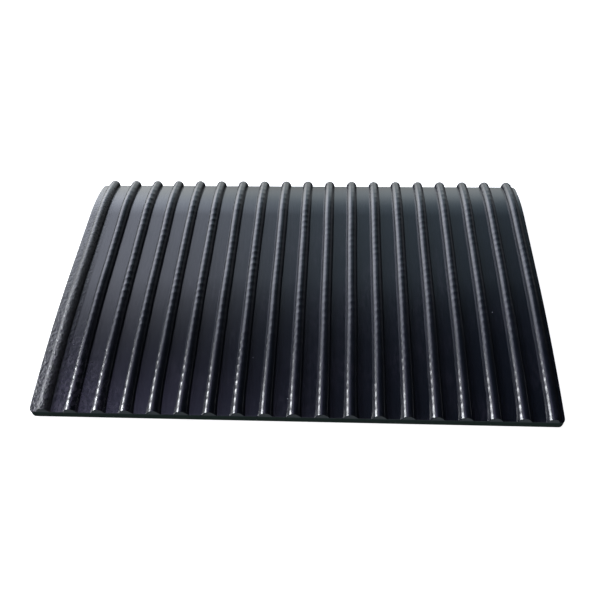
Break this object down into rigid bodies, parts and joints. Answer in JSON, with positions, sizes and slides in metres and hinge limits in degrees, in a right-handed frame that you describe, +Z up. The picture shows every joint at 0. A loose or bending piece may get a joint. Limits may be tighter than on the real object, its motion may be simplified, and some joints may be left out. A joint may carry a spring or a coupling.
{
  "type": "seedling heat mat",
  "caption": "Flexible rubber propagation heat mat with parallel rounded ribs over a buried heating cord; seed trays stand on the ribs and it warms them from below.",
  "frame": {"origin": "below the middle of the mat, on the surface it lies on", "axes": "+X across the ribs to the right, +Y along the ribs from the front end to the back end that curls down, +Z up"},
  "size_m": [0.508, 0.344, 0.0281],
  "materials": {
    "cover_rubber": "smooth moulded rubber with a soft shine",
    "base_rubber": "matt rubber with a fine cloth-print texture",
    "foam": "matt closed-cell foam",
    "foil": "bright rolled foil",
    "cord_silicone": "satin silicone jacket over a wound element",
    "tinned_copper": "tinned",
    "shrink_tube": "satin",
    "cutout_steel": "plated",
    "polyester_film": "amber film",
    "brown_insulation": "satin",
    "blue_insulation": "satin",
    "green_insulation": "satin, green with a yellow stripe",
    "eyelet_brass": "bright",
    "box_nylon": "moulded, fine grain",
    "gland_rubber": "satin moulded rubber"
  },
  "bodies": {
    "root": {"ribbed_cover": "cover_rubber", "base_cover": "base_rubber", "insulation_core": "foam", "heat_spreader_foil": "foil", "heating_cord": "cord_silicone", "cord_start_crimp": "tinned_copper", "cord_start_sleeve": "shrink_tube", "cord_end_crimp": "tinned_copper", "cord_end_sleeve": "shrink_tube", "thermal_cutout": "cutout_steel", "cutout_sleeve": "polyester_film", "line_lead": "brown_insulation", "cutout_lead": "brown_insulation", "neutral_lead": "blue_insulation", "earth_lead": "green_insulation", "earth_ring_terminal": "tinned_copper", "earth_eyelet": "eyelet_brass", "line_crimp": "tinned_copper", "neutral_crimp": "tinned_copper", "earth_crimp": "tinned_copper", "junction_housing": "box_nylon", "junction_lid": "box_nylon", "cord_gland": "gland_rubber"}
  },
  "joints": []
}
